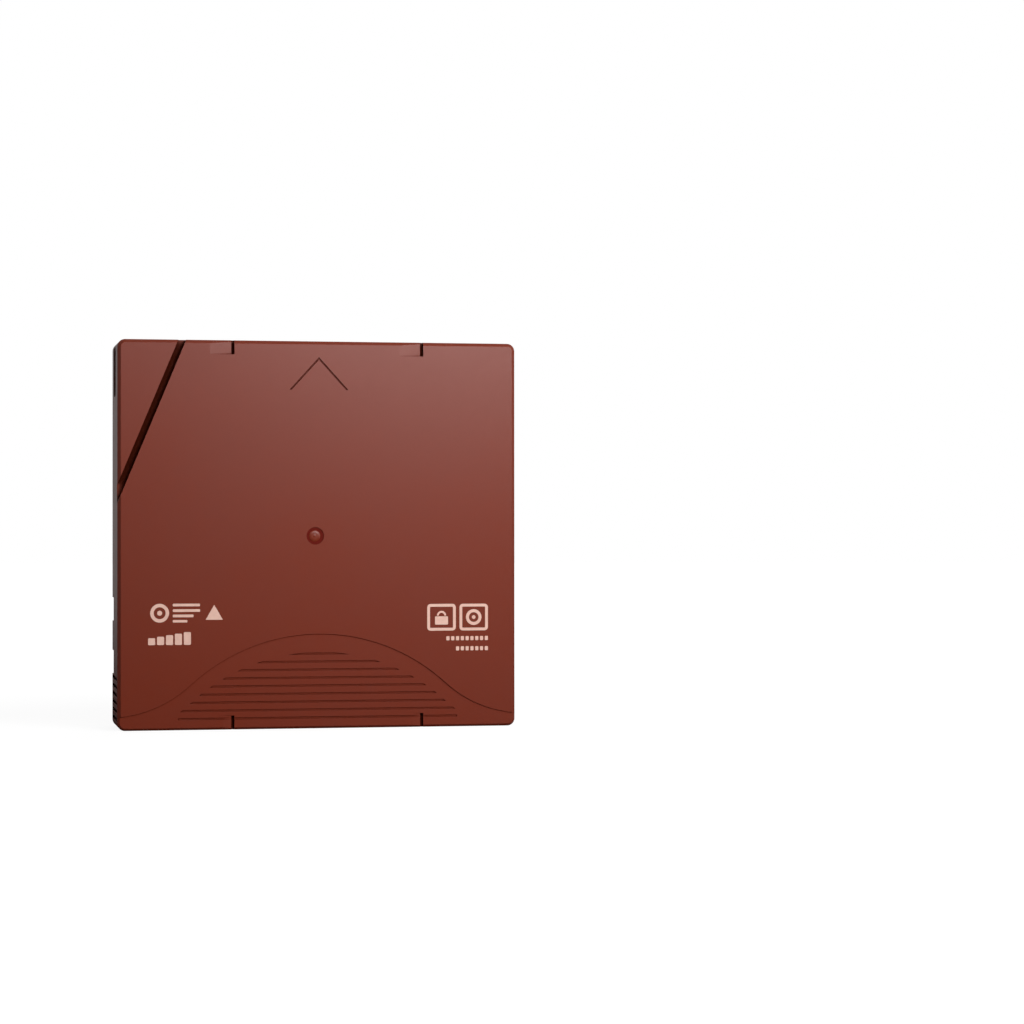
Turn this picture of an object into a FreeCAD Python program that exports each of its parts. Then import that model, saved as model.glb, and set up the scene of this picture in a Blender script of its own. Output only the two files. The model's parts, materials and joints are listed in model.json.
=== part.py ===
import FreeCAD, Part
import math
import os

# Single-reel data tape cartridge. Lengths are in millimetres and angles in degrees.
# Every piece is drawn lying flat: X across the cartridge, Y from the rear edge (0) to the insertion
# edge, Z through the thickness with the parting plane at 0 and the top face up. The last step turns
# each piece by 90 degrees about X, so the row stands on its rear edge with its top face towards -Y.

V = FreeCAD.Vector
Z_AXIS = V(0, 0, 1)

# Case
case_width = 105.4
case_length = 102.0
case_thickness = 21.5
side_wall = 1.5
face_wall = 1.6
edge_bevel = 0.85
corner_round = 2.0
parting_chamfer = 0.2
fit_gap = 0.05            # faces of the case that face a piece it holds
slide_gap = 0.25          # faces that a slider runs past
past = 1.0                # how far a cutter runs on past a face

# Reel
reel_side_room = 1.35     # from the flange to the wall and the door rail, if the reel stood midway
reel_end_room = 1.0       # the same at the rear and front walls
reel_shift_x = 0.35
reel_shift_y = -0.3
flange_thickness = 1.1
tape_width = 12.65
pack_margin = 1.5         # from the wound tape to the flange's edge
hub_radius = 22.0
hub_wall = 2.0
web_thickness = 2.0
pack_side_gap = 0.2
pack_wall_gap = 0.05

# Drive teeth and clutch plate under the hub
drive_tooth_count = 60
drive_ring_inner = 14.6
drive_ring_outer = 17.4
drive_tooth_height = 1.15
drive_tooth_width = 1.3
drive_tooth_tip = 0.35
drive_ring_land = 0.6
window_gap = 0.3
clutch_outer = 13.0
clutch_bore = 5.5
clutch_thickness = 0.95

# Brake and release pad
brake_travel = 2.0
brake_tooth_count = 24
brake_tooth_height = 1.4
brake_tooth_width = 2.2
brake_tooth_tip = 0.9
brake_ring_inner = 17.6
brake_ring_gap = 0.1
brake_plate_gap = 0.4
brake_rim = 0.2
brake_plate_thickness = 1.5
tooth_root_gap = 0.2
pad_radius = 9.0
pad_thickness = 1.7
pad_arm_width = 4.0
pad_leg_radius = 1.3
pad_leg_offset = 16.0
pad_leg_reach = 0.4
pad_leg_gap = 0.3
pad_angles = (90, 210, 330)
socket_radius = 5.0
socket_height = 5.45
key_width = 7.6
key_blade = 1.2
key_gap = 0.1
key_engagement = 2.95
spring_wire = 0.8
spring_radius = 6.6
spring_turns = 4
spring_chords = 8
spring_root_gap = 0.6
spring_root_height = 1.6

# Screws
screw_radius = 1.0
screw_end_gap = 0.5
screw_hole = 1.25
screw_head_radius = 2.1
screw_head_height = 1.6
screw_socket_radius = 1.0
screw_socket_depth = 0.8
screw_recess_depth = 2.0
screw_head_gap = 0.2
screw_wall = 1.0
screw_length = 14.2
screw_boss_root = 0.2
screw_left = 8.2          # screw axes from the left wall's outside
screw_right_front = 12.2
screw_right_rear = 14.2
screw_rear_left = 11.0

# Door and its opening in the right wall
door_opening_margin = 3.5 # from the insertion edge
door_opening_length = 21.5
door_opening_sill = 1.25  # above the floor
door_opening_head = 2.25  # below the ceiling
door_travel = 18.5
door_thickness = 1.2
door_lap = 1.4
door_side_gap = 0.25
door_tab_length = 2.4
door_tab_half_height = 3.0
door_tab_recess = 0.2
door_tab_gap = 0.3
rail_thickness = 1.0
rail_height = 1.2
rail_break = 4.0          # half of the gap in the lower rail, where the pin passes out
door_seat_depth = 1.6
door_seat_width = 2.2
door_seat_half_height = 2.0
door_spring_wire = 0.3
door_spring_radius = 1.0
door_spring_closed = 15.5 # its length with the door open
door_spring_turns = 6
door_spring_chords = 6
spring_peg_radius = 0.65
spring_peg_length = 3.0
spring_stop_depth = 1.5

# Leader pin, clip and film
pin_from_side = 7.7
pin_from_front = 11.5
pin_shaft_radius = 1.2
pin_flange_radius = 2.4
pin_flange_thickness = 0.8
pin_tape_gap = 0.95       # from the tape's upper edge to the pin's upper flange
film_thickness = 0.15
film_pack_gap = 0.3
film_wrap = 250.0
clip_gap = 0.05
clip_wall = 0.35
clip_first_angle = 85.0   # from the film's tangent point round the pin
clip_last_angle = 350.0
cradle_mouth_half = 55.0  # angle
cradle_gap = 0.3
cradle_wall = 1.0
cradle_grip = 1.2
leaf_thickness = 0.2
leaf_height = 0.8
leaf_reach = 2.4
leaf_bend = 0.6
leaf_post_length = 3.0
leaf_post_width = 1.8
leaf_slot_gap = 0.02

# Write-protect switch in the rear wall
switch_travel = 3.2
switch_window_left = 3.2    # from the left wall's outside
switch_window_width = 7.0
switch_window_height = 6.0
switch_plate_width = 6.4
switch_plate_height = 8.4
switch_plate_thickness = 1.4
switch_nub_width = 3.2
switch_nub_height = 5.0
switch_nub_recess = 0.3
switch_end_gap = 0.3
switch_guide_wall = 1.0
switch_guide_lip = 1.0

# Memory board in the rear right corner
board_length = 9.0
board_thickness = 0.7
board_corner_gap = 5.6
board_end_gap = 0.05
board_rib_height = 2.6
board_rib_wall = 0.8
chip_side = 3.4
chip_thickness = 0.9

# Side and rear features
loader_slot_margin = 1.6   # from the insertion edge
loader_slot_length = 13.0
loader_slot_height = 7.0
loader_slot_centre = -0.5
loader_slot_depth = 3.2
loader_slot_round = 1.6
pocket_wall = 1.2
notch_starts_left = (14.2, 28.2)
notch_starts_right = (14.2,)
notch_length = 6.2
notch_height = 5.5
notch_depth = 1.8
datum_radius = 2.0
datum_depth = 4.0
datum_from_left = 6.1
datum_from_front = 18.0
datum_slot_from_right = 6.5
datum_slot_y = 18.0
datum_slot_length = 6.0
label_width = 80.0
label_height = 17.0
label_depth = 0.5

# Top face and grip features
groove_width = 1.9
groove_depth = 2.0
groove_wall = 1.0          # what stays behind and beside the groove
groove_from_left = 16.8    # where it leaves the insertion edge
groove_from_front = 40.2   # where it leaves the left side
arrow_margin = 4.2
arrow_length = 8.6
arrow_half_width = 7.5
arrow_line = 0.45
arrow_depth = 0.3
gate_radius = 2.3
gate_depth = 0.25
ramp_slits = (-22.7, 27.45)
ramp_slit_width = 0.8
ramp_slit_depth = 1.3
ramp_length = 5.6
ramp_reach = 3.7
ramp_depth = 0.4
step_depth = 0.25
step_crest = 24.9          # the grip field's outline: a crest arc and a hollow foot arc each side
step_crest_radius = 50.0
step_shoulder = 33.8
step_foot_radius = 31.5
rib_first = 2.9
rib_pitch = 2.1
rib_count = 9
rib_line = 0.5
rib_depth = 0.2
rib_margin = 4.8           # from the step down to the ends of the grip grooves
rib_field_half = 37.0
side_rib_count = 6
side_rib_line = 0.9
side_rib_depth = 0.5
side_rib_margin = 1.75     # from the top and bottom faces

# Walls inside the case round the reel
reel_wall_gap = 0.7
reel_wall = 1.0
reel_wall_arcs = ((122, 156), (206, 246), (298, 322))

# Sizes that follow
half_width = case_width / 2
half_thickness = case_thickness / 2
ceiling = half_thickness - face_wall
inner_half = half_width - side_wall
inner_front = case_length - side_wall
door_outer = inner_half - slide_gap
door_inner = door_outer - door_thickness
rail_outer = door_inner - slide_gap
rail_inner = rail_outer - rail_thickness
reel_x = (rail_inner - inner_half) / 2 + reel_shift_x
reel_y = case_length / 2 + reel_shift_y
half_room = (rail_inner + inner_half) / 2 - reel_side_room
flange_radius = min(half_room, case_length / 2 - side_wall - reel_end_room)
pack_radius = flange_radius - pack_margin
flange_low = -ceiling + fit_gap
flange_top = flange_low + flange_thickness
tape_low = flange_top + pack_side_gap
tape_high = tape_low + tape_width
hub_top = tape_high + pack_side_gap
hub_inner = hub_radius - hub_wall
web_low = flange_low + drive_ring_land + pack_side_gap
web_top = web_low + web_thickness
drive_tip = flange_low - drive_tooth_height
drive_land_outer = drive_ring_outer + drive_ring_land
window_radius = drive_land_outer + window_gap
pad_low = web_top + fit_gap
pad_top = pad_low + pad_thickness
button_low = web_top + brake_tooth_height + 2 * tooth_root_gap
button_top = button_low + brake_plate_thickness
button_radius = hub_inner - brake_plate_gap
socket_top = button_top + socket_height
key_low = socket_top - key_engagement
screw_recess_radius = screw_head_radius + screw_head_gap
screw_boss_radius = screw_recess_radius + screw_wall
screw_shoulder = -half_thickness + screw_recess_depth
screw_front_y = inner_front - screw_boss_radius + screw_boss_root
screw_rear_y = side_wall + screw_boss_radius - screw_boss_root
screw_places = (
    (-half_width + screw_left, screw_front_y),
    (half_width - screw_right_front, screw_front_y),
    (half_width - screw_right_rear, screw_rear_y),
    (-half_width + screw_left, screw_rear_left),
)
door_opening_front = case_length - door_opening_margin
door_opening_rear = door_opening_front - door_opening_length
door_rear = door_opening_rear - door_lap
door_front = door_opening_front + door_tab_gap
door_low = -ceiling + door_side_gap
door_high = ceiling - door_side_gap
door_spring_x = door_outer - door_spring_radius - door_spring_wire / 2 - fit_gap
rail_rear = door_rear - door_seat_depth - door_travel - door_spring_closed
pin_x = half_width - pin_from_side
pin_y = case_length - pin_from_front
pin_low = -ceiling
pin_top = tape_high + pin_tape_gap + pin_flange_thickness
cradle_inner = pin_flange_radius + cradle_gap
cradle_outer = cradle_inner + cradle_wall
clip_inner = pin_shaft_radius + film_thickness + clip_gap
switch_left = -half_width + switch_window_left
board_half = board_length / 2
loader_slot_front = case_length - loader_slot_margin
loader_slot_rear = loader_slot_front - loader_slot_length
datum_x = -half_width + datum_from_left
datum_y = case_length - datum_from_front
datum_slot_x = half_width - datum_slot_from_right


# Drawing helpers

def box(x0, x1, y0, y1, z0, z1):
    """Block between two corners, given in either order."""
    low = V(min(x0, x1), min(y0, y1), min(z0, z1))
    return Part.makeBox(abs(x1 - x0), abs(y1 - y0), abs(z1 - z0), low)


def disc(x, y, radius, z0, z1):
    """Upright cylinder."""
    return Part.makeCylinder(radius, z1 - z0, V(x, y, z0))


def post(x, y, radius, z0, z1):
    """Upright eight-sided column, its flats at the radius."""
    reach = radius / math.cos(math.pi / 8)
    turns = [(k + 0.5) * math.pi / 4 for k in range(8)]
    return prism([(x + reach * math.cos(t), y + reach * math.sin(t)) for t in turns], z0, z1)


def ring(x, y, inner, outer, z0, z1):
    """Upright tube."""
    return disc(x, y, outer, z0, z1).cut(disc(x, y, inner, z0, z1))


def prism(points, z0, z1):
    """Straight-sided outline raised from z0 to z1."""
    corners = [V(x, y, z0) for x, y in points]
    face = Part.Face(Part.makePolygon(corners + corners[:1]))
    return face.extrude(V(0, 0, z1 - z0))


def sector(x, y, inner, outer, start, end, z0, z1):
    """Part of a tube between two angles."""
    def wedge(radius):
        return Part.makeCylinder(radius, z1 - z0, V(x, y, z0), Z_AXIS, end - start)
    piece = wedge(outer).cut(disc(x, y, inner, z0, z1))
    piece.rotate(V(x, y, 0), Z_AXIS, start)
    return piece


def rounded_block(x0, x1, y0, y1, z0, z1, radius):
    """Block whose four upright edges are rounded."""
    block = box(x0, x1, y0, y1, z0, z1)
    upright = [e for e in block.Edges if abs(e.tangentAt(e.FirstParameter).z) > 0.9]
    return block.makeFillet(radius, upright)


def polar(radius, angle, z=0.0):
    """Point at a distance from the reel axis, the angle in degrees."""
    turn = math.radians(angle)
    return V(reel_x + radius * math.cos(turn), reel_y + radius * math.sin(turn), z)


def edges_at(shape, z):
    """Edges that lie in one level plane."""
    return [e for e in shape.Edges if abs(e.BoundBox.ZMin - z) < 1e-6 and abs(e.BoundBox.ZMax - z) < 1e-6]


def about_reel(shape, count, first=0.0):
    """Copies of a shape spaced evenly round the reel axis."""
    copies = []
    for index in range(count):
        copy = shape.copy()
        copy.rotate(V(reel_x, reel_y, 0), Z_AXIS, first + index * 360.0 / count)
        copies.append(copy)
    return copies


def face_teeth(count, inner, outer, root, tip, width_root, width_tip, first=0.0):
    """Face-gear teeth on the reel axis, as radial bars that taper from root to tip."""
    half_root = width_root / 2
    half_tip = width_tip / 2
    x0 = reel_x + inner
    profile = [
        V(x0, reel_y - half_root, root),
        V(x0, reel_y + half_root, root),
        V(x0, reel_y + half_tip, tip),
        V(x0, reel_y - half_tip, tip),
    ]
    bar = Part.Face(Part.makePolygon(profile + profile[:1])).extrude(V(outer - inner, 0, 0))
    return about_reel(bar, count, first)


def ribbon(points, thickness, z0, z1):
    """Thin strip on edge that follows a bent line, thickened towards the line's left."""
    left = []
    for index, (x, y) in enumerate(points):
        before = points[max(index - 1, 0)]
        after = points[min(index + 1, len(points) - 1)]
        run = math.hypot(after[0] - before[0], after[1] - before[1])
        left.append((
            x - (after[1] - before[1]) / run * thickness,
            y + (after[0] - before[0]) / run * thickness,
        ))
    return prism(list(points) + left[::-1], z0, z1)


def coil(radius, wire, length, turns, chords):
    """Compression spring of square wire round the Z axis from z = 0, its end half-turns closed flat.

    Each turn is drawn with a number of straight chords.
    """
    half = wire / 2
    steps = turns * chords
    closed = chords // 2

    def section(index):
        share = min(max((index - closed) / (steps - 2 * closed), 0), 1)
        z = half + share * (length - wire)
        turn = 2 * math.pi * index / chords
        return [V(r * math.cos(turn), r * math.sin(turn), z + dz)
                for r, dz in ((radius - half, -half), (radius + half, -half), (radius + half, half),
                              (radius - half, half))]

    def facet(*corners):
        return Part.Face(Part.makePolygon(list(corners) + [corners[0]]))

    sections = [section(index) for index in range(steps + 1)]
    faces = [facet(*sections[0]), facet(*sections[-1])]
    for here, ahead in zip(sections, sections[1:]):
        for k in range(4):
            n = (k + 1) % 4
            faces += [facet(here[k], here[n], ahead[n]), facet(here[k], ahead[n], ahead[k])]
    shell = Part.makeShell(faces)
    shell.sewShape()
    return Part.makeSolid(shell)


def save(name, shape):
    """Turn a piece from the flat drawing position to the row's frame and write it."""
    placed = shape.removeSplitter()
    placed.rotate(V(0, 0, 0), V(1, 0, 0), 90)
    placed.exportStep("parts/" + name + ".step")


# Case halves

def half_case(chamfer=0):
    """Upper half of the case without features, open at the parting plane."""
    outer = rounded_block(-half_width, half_width, 0, case_length, 0, half_thickness, corner_round)
    outer = outer.makeChamfer(edge_bevel, edges_at(outer, half_thickness))
    if chamfer:
        outer = outer.makeChamfer(chamfer, edges_at(outer, 0))
    return outer.cut(box(-inner_half, inner_half, side_wall, inner_front, -past, ceiling))


def turned_over(shape):
    """The same shape on the other side of the parting plane."""
    return shape.mirror(V(0, 0, 0), Z_AXIS)


def reel_walls():
    """Arcs of wall round the reel in the three corners the tape doesn't leave by."""
    inner = flange_radius + reel_wall_gap
    return [sector(reel_x, reel_y, inner, inner + reel_wall, start, end, 0, ceiling)
            for start, end in reel_wall_arcs]


def door_rail(rear, front):
    """Rail that keeps the door against the side wall."""
    return box(rail_inner, rail_outer, rear, front, ceiling - rail_height, ceiling)


def board_trough():
    """Pair of short ribs that hold one edge of the memory board."""
    half_gap = board_thickness / 2 + fit_gap
    low = ceiling - board_rib_height
    ribs = []
    for side in (-1, 1):
        near = side * half_gap
        far = side * (half_gap + board_rib_wall)
        ribs.append(at_board(box(near, far, -board_half, board_half, low, ceiling)))
    return ribs


def at_board(shape):
    """Move a shape drawn on the board's own axes, its face along X, to the rear right corner."""
    corner = V(inner_half, side_wall, 0)
    placed = shape.copy()
    placed.rotate(V(0, 0, 0), Z_AXIS, -45)
    reach = board_corner_gap / math.sqrt(2)
    placed.translate(V(corner.x - reach, corner.y + reach, 0))
    return placed


def switch_guide():
    """Shelf and lip behind the rear wall that carry one edge of the write-protect slider."""
    half = switch_plate_height / 2 + fit_gap
    back = side_wall + fit_gap + switch_plate_thickness + fit_gap
    right = switch_left + switch_window_width + switch_travel
    shelf = box(-inner_half, right, side_wall, back + switch_guide_wall, half, half + switch_guide_wall)
    lip = box(-inner_half, right, back, back + switch_guide_wall, half - switch_guide_lip, half)
    return [shelf, lip]


def pocket_backing(side, y0, y1, z0, z1, depth):
    """Block inside a side wall that closes the back of a pocket."""
    outside = side * half_width
    return box(outside - side * side_wall, outside - side * (depth + pocket_wall), y0, y1, z0, z1)


def loader_backing():
    """Blocks behind the loader slot, for one half."""
    front = loader_slot_front + pocket_wall
    high = loader_slot_centre + loader_slot_height / 2 + pocket_wall
    return pocket_backing(-1, loader_slot_rear - pocket_wall, front, 0, high, loader_slot_depth)


def loader_slot():
    """Pocket in the left side that a changer's hook enters, with rounded corners."""
    half = loader_slot_height / 2
    block = box(-half_width - past, -half_width + loader_slot_depth, loader_slot_rear, loader_slot_front,
                loader_slot_centre - half, loader_slot_centre + half)
    along_x = [e for e in block.Edges if abs(e.tangentAt(e.FirstParameter).x) > 0.9]
    return block.makeFillet(loader_slot_round, along_x)


def side_ribs():
    """Grip grooves across the middle of both sides, in line with those of the top face."""
    cuts = []
    half = half_thickness - side_rib_margin
    for index in range(side_rib_count):
        y = rib_first + index * rib_pitch
        for side in (-1, 1):
            x = side * half_width
            cuts.append(box(x - side * side_rib_depth, x + side * past,
                            y - side_rib_line / 2, y + side_rib_line / 2, -half, half))
    return cuts


def door_opening():
    """Access opening for the tape, and the slit ahead of it for the drive's door opener."""
    opening = box(inner_half - past, half_width + past, door_opening_rear, door_opening_front,
                  -ceiling + door_opening_sill, ceiling - door_opening_head)
    slit = box(inner_half - past, half_width + past, door_opening_front, case_length + past,
               -door_tab_half_height, door_tab_half_height)
    return [opening, slit]


def switch_window():
    """Window in the rear wall for the write-protect slider's nub."""
    half = switch_window_height / 2
    return box(switch_left, switch_left + switch_window_width, -past, side_wall + fit_gap, -half, half)


def label_recess():
    """Shallow recess in the rear edge where a label can go."""
    half = label_height / 2
    return box(-label_width / 2, label_width / 2, -past, label_depth, -half, half)


def shared_cuts():
    """Openings that cross the parting plane."""
    return [loader_slot(), switch_window(), label_recess()] + door_opening() + side_ribs()


def under_step(drop, z0, z1):
    """Solid under the bell-shaped outline, lowered by drop."""
    centre_y = step_crest - drop - step_crest_radius
    rise = math.sqrt(step_crest_radius ** 2 - step_shoulder ** 2)
    shoulder = V(step_shoulder, centre_y + rise, z0)
    outward = V(step_shoulder, rise, 0) * (1 / step_crest_radius)
    foot = shoulder + outward * step_foot_radius
    down = math.asin(step_shoulder / step_crest_radius)
    end_x = half_width + past

    def on_foot(turn):
        return V(foot.x - step_foot_radius * math.sin(turn), foot.y - step_foot_radius * math.cos(turn), z0)

    last = on_foot(math.asin((foot.x - end_x) / step_foot_radius))
    middle = on_foot((down + math.asin((foot.x - end_x) / step_foot_radius)) / 2)

    def mirrored(p):
        return V(-p.x, p.y, p.z)

    edges = [
        Part.Arc(mirrored(last), mirrored(middle), mirrored(shoulder)).toShape(),
        Part.Arc(mirrored(shoulder), V(0, step_crest - drop, z0), shoulder).toShape(),
        Part.Arc(shoulder, middle, last).toShape(),
    ]
    below = V(0, -step_crest, 0)
    edges += Part.makePolygon([last, last + below, mirrored(last) + below, mirrored(last)]).Edges
    return Part.Face(Part.Wire(edges)).extrude(V(0, 0, z1 - z0))


def grip_field():
    """The recessed field at the rear of the top face and its grip grooves."""
    floor = half_thickness - step_depth
    inner = under_step(rib_margin, floor - rib_depth, half_thickness)
    cuts = [under_step(0, floor, half_thickness + past)]
    for index in range(rib_count):
        y = rib_first + index * rib_pitch
        line = box(-rib_field_half, rib_field_half, y - rib_line / 2, y + rib_line / 2,
                   floor - rib_depth, half_thickness)
        cuts.append(inner.common(line))
    return cuts


def across_corner(width, low, high):
    """Bar along the groove's line, from the left side to the insertion edge and on past both."""
    run = math.hypot(groove_from_left, groove_from_front)
    angle = math.degrees(math.atan2(groove_from_front, groove_from_left))
    end = 2 * groove_width
    bar = box(-end, run + end, -width / 2, width / 2, low, high)
    bar.rotate(V(0, 0, 0), Z_AXIS, angle)
    bar.translate(V(-half_width, case_length - groove_from_front, 0))
    return bar


def corner_groove():
    """Diagonal groove across the front left corner of the top face."""
    return across_corner(groove_width, half_thickness - groove_depth, half_thickness + past)


def groove_backing():
    """Bar under the ceiling that closes the back of the corner groove."""
    low = half_thickness - groove_depth - groove_wall
    bar = across_corner(groove_width + 2 * groove_wall, low, ceiling)
    return bar.common(box(-inner_half, inner_half, side_wall, inner_front, low, ceiling))


def arrow_mark():
    """Two thin lines that meet in a point towards the insertion edge."""
    tip = case_length - arrow_margin
    foot = tip - arrow_length
    half_line = arrow_line / 2 * math.hypot(arrow_length, arrow_half_width) / arrow_length
    low = half_thickness - arrow_depth
    right = [
        (0, tip),
        (arrow_half_width + half_line, foot),
        (arrow_half_width - half_line, foot),
        (0, tip - 2 * half_line * arrow_length / arrow_half_width),
    ]
    line = prism(right, low, half_thickness + past)
    return line.fuse(line.mirror(V(0, 0, 0), V(1, 0, 0)))


def edge_ramp(slit_x, side):
    """Locating recess on a face edge: a ramp that deepens to a slit. Side is 1 at the front edge."""
    edge = case_length if side > 0 else 0
    y0 = edge - side * ramp_reach
    y1 = edge + side * past
    left = slit_x - ramp_slit_width / 2
    profile = [
        V(left - ramp_length, y0, half_thickness),
        V(left, y0, half_thickness),
        V(left, y0, half_thickness - ramp_depth),
    ]
    wedge = Part.Face(Part.makePolygon(profile + profile[:1])).extrude(V(0, y1 - y0, 0))
    slit = box(left, left + ramp_slit_width, y0, y1, half_thickness - ramp_slit_depth, half_thickness + past)
    return wedge.fuse(slit)


def gate_mark():
    """Round recess of the moulding gate, over the reel axis."""
    return disc(reel_x, reel_y, gate_radius, half_thickness - gate_depth, half_thickness + past)


def cross(half, thick, z0, z1):
    """Two crossed bars on the reel axis."""
    return [box(reel_x - half, reel_x + half, reel_y - thick, reel_y + thick, z0, z1),
            box(reel_x - thick, reel_x + thick, reel_y - half, reel_y + half, z0, z1)]


def brake_key():
    """Cross-shaped key that stops the brake button turning. Its wide root centres the spring."""
    root_half = spring_radius - spring_wire / 2 - spring_root_gap
    thick = key_blade / 2
    root = cross(root_half, thick, ceiling - spring_root_height, ceiling)
    return cross(key_width / 2, thick, key_low, ceiling) + root


def pin_cradle(low, high, plug):
    """C-shaped wall round one end of the leader pin, open towards the door, and a plug beyond it."""
    wall = sector(pin_x, pin_y, cradle_inner, cradle_outer, cradle_mouth_half, 360 - cradle_mouth_half,
                  low, high)
    return [wall] + ([post(pin_x, pin_y, cradle_outer, *plug)] if plug else [])


def leaf_line():
    """Path of a pin spring: held at the front, bearing on the pin's flange, bent off at its end."""
    bearing = pin_x + pin_flange_radius + fit_gap
    held = bearing + leaf_thickness
    front = inner_front - fit_gap
    return (
        (bearing, pin_y - leaf_reach / 2),
        (bearing, pin_y + leaf_reach / 2),
        (held, front - leaf_post_length),
        (held, front),
    )


def leaf_spring(low):
    """Flat spring that holds one end of the leader pin in its cradle."""
    line = leaf_line()
    tail = (line[0][0] + leaf_bend, line[0][1] - leaf_reach / 2)
    return ribbon(((tail[0], tail[1]),) + line, -leaf_thickness, low, low + leaf_height)


def leaf_post(low, high):
    """Slotted post at the front wall that grips the end of a pin spring."""
    held = leaf_line()[-1][0]
    x0 = held + leaf_thickness / 2 - leaf_post_width / 2
    y0 = inner_front - leaf_post_length
    block = box(x0, x0 + leaf_post_width, y0, inner_front, low, high)
    slot = box(held - leaf_slot_gap, held + leaf_thickness + leaf_slot_gap, y0, inner_front, low, high)
    return block.cut(slot)


def screw_boss(x, y, z0, z1):
    """Boss that a case screw passes through or bites into."""
    return post(x, y, screw_boss_radius, z0, z1)


def top_shell():
    """Upper case half with the marks, grip field and grooves on its face."""
    pin_rest = pin_top + fit_gap
    leaf_low = pin_top - leaf_height
    adds = reel_walls() + board_trough() + switch_guide() + brake_key()
    adds += [door_rail(rail_rear, inner_front), loader_backing(), groove_backing()]
    adds += pin_cradle(pin_rest - cradle_grip, pin_rest, (pin_rest, ceiling))
    adds += [leaf_post(leaf_low, ceiling)]
    adds += [screw_boss(x, y, 0, ceiling) for x, y in screw_places]
    shell = half_case().fuse(adds)
    hole_end = screw_shoulder + screw_length + screw_end_gap
    cuts = [post(x, y, screw_radius, -past, hole_end) for x, y in screw_places]
    cuts += [corner_groove(), arrow_mark(), gate_mark()] + grip_field()
    cuts += [edge_ramp(x, side) for x in ramp_slits for side in (-1, 1)]
    return shell.cut(cuts + shared_cuts())


def datum_boss(x, y, half_length):
    """Boss round a locating hole, stretched across by half_length each way."""
    radius = datum_radius + pocket_wall
    top = -half_thickness + datum_depth + pocket_wall
    return box(x - half_length - radius, x + half_length + radius, y - radius, y + radius, -ceiling, top)


def datum_hole(x, y, half_length):
    """Blind locating hole, stretched into a slot by half_length each way."""
    low = -half_thickness - past
    high = -half_thickness + datum_depth
    left = x - half_length
    right = x + half_length
    hole = disc(left, y, datum_radius, low, high)
    if half_length:
        middle = box(left, right, y - datum_radius, y + datum_radius, low, high)
        hole = hole.fuse([disc(right, y, datum_radius, low, high), middle])
    return hole


def grip_notch(side, start):
    """Notch in the bottom face's edge that a changer's gripper takes."""
    outside = side * half_width
    return box(outside + side * past, outside - side * notch_depth, start, start + notch_length,
               -half_thickness - past, -half_thickness + notch_height)


def spring_peg(y0, y1):
    """Peg along Y that centres one end of the door spring."""
    peg = post(0, 0, spring_peg_radius, -y1, -y0)
    peg.rotate(V(0, 0, 0), V(1, 0, 0), 90)
    peg.translate(V(door_spring_x, 0, 0))
    return peg


def spring_stop():
    """Stop on the bottom half behind the door spring, with a peg in the spring's end."""
    block = box(rail_inner, inner_half, rail_rear - spring_stop_depth, rail_rear, -ceiling,
                door_seat_half_height)
    return [block, spring_peg(rail_rear, rail_rear + spring_peg_length)]


def bottom_shell():
    """Lower case half with the drive window, locating holes and notches."""
    slot_half = datum_slot_length / 2 - datum_radius
    adds = [turned_over(piece) for piece in board_trough() + switch_guide()]
    adds += [turned_over(door_rail(rail_rear, pin_y - rail_break))]
    adds += [turned_over(door_rail(pin_y + rail_break, inner_front))]
    adds += [box(-half_width + side_wall, -half_width + loader_slot_depth + pocket_wall,
                 loader_slot_rear - pocket_wall, loader_slot_front + pocket_wall,
                 loader_slot_centre - loader_slot_height / 2 - pocket_wall, 0)]
    adds += pin_cradle(-ceiling, -ceiling + cradle_grip, None)
    adds += [leaf_post(-ceiling, -ceiling + leaf_height)]
    adds += [screw_boss(x, y, -ceiling, 0) for x, y in screw_places]
    adds += [datum_boss(datum_x, datum_y, 0), datum_boss(datum_slot_x, datum_slot_y, slot_half)]
    adds += spring_stop()
    high = -half_thickness + notch_height + pocket_wall
    notches = [(-1, y) for y in notch_starts_left] + [(1, y) for y in notch_starts_right]
    for side, start in notches:
        adds += [pocket_backing(side, start - pocket_wall, start + notch_length + pocket_wall, -ceiling,
                                high, notch_depth)]
    shell = turned_over(half_case(parting_chamfer)).fuse(adds)
    cuts = [disc(reel_x, reel_y, window_radius, -half_thickness - past, 0)]
    cuts += [post(x, y, screw_hole, -half_thickness - past, past) for x, y in screw_places]
    cuts += [disc(x, y, screw_recess_radius, -half_thickness - past, screw_shoulder) for x, y in screw_places]
    cuts += [datum_hole(datum_x, datum_y, 0), datum_hole(datum_slot_x, datum_slot_y, slot_half)]
    cuts += [grip_notch(side, start) for side, start in notches]
    return shell.cut(cuts + shared_cuts())


def case_screws():
    """Four screws driven from the bottom face, drawn eight-sided, with plain shanks."""
    solids = []
    for x, y in screw_places:
        head_low = screw_shoulder - screw_head_height
        head = post(x, y, screw_head_radius, head_low, screw_shoulder)
        shank = post(x, y, screw_radius, screw_shoulder, screw_shoulder + screw_length)
        socket = post(x, y, screw_socket_radius, head_low - past, head_low + screw_socket_depth)
        solids.append(head.fuse(shank).cut(socket).removeSplitter())
    return Part.Compound(solids)


# Reel

def leg_places():
    """Centres of the three legs of the release pad."""
    return [polar(pad_leg_offset, angle) for angle in pad_angles]


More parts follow.
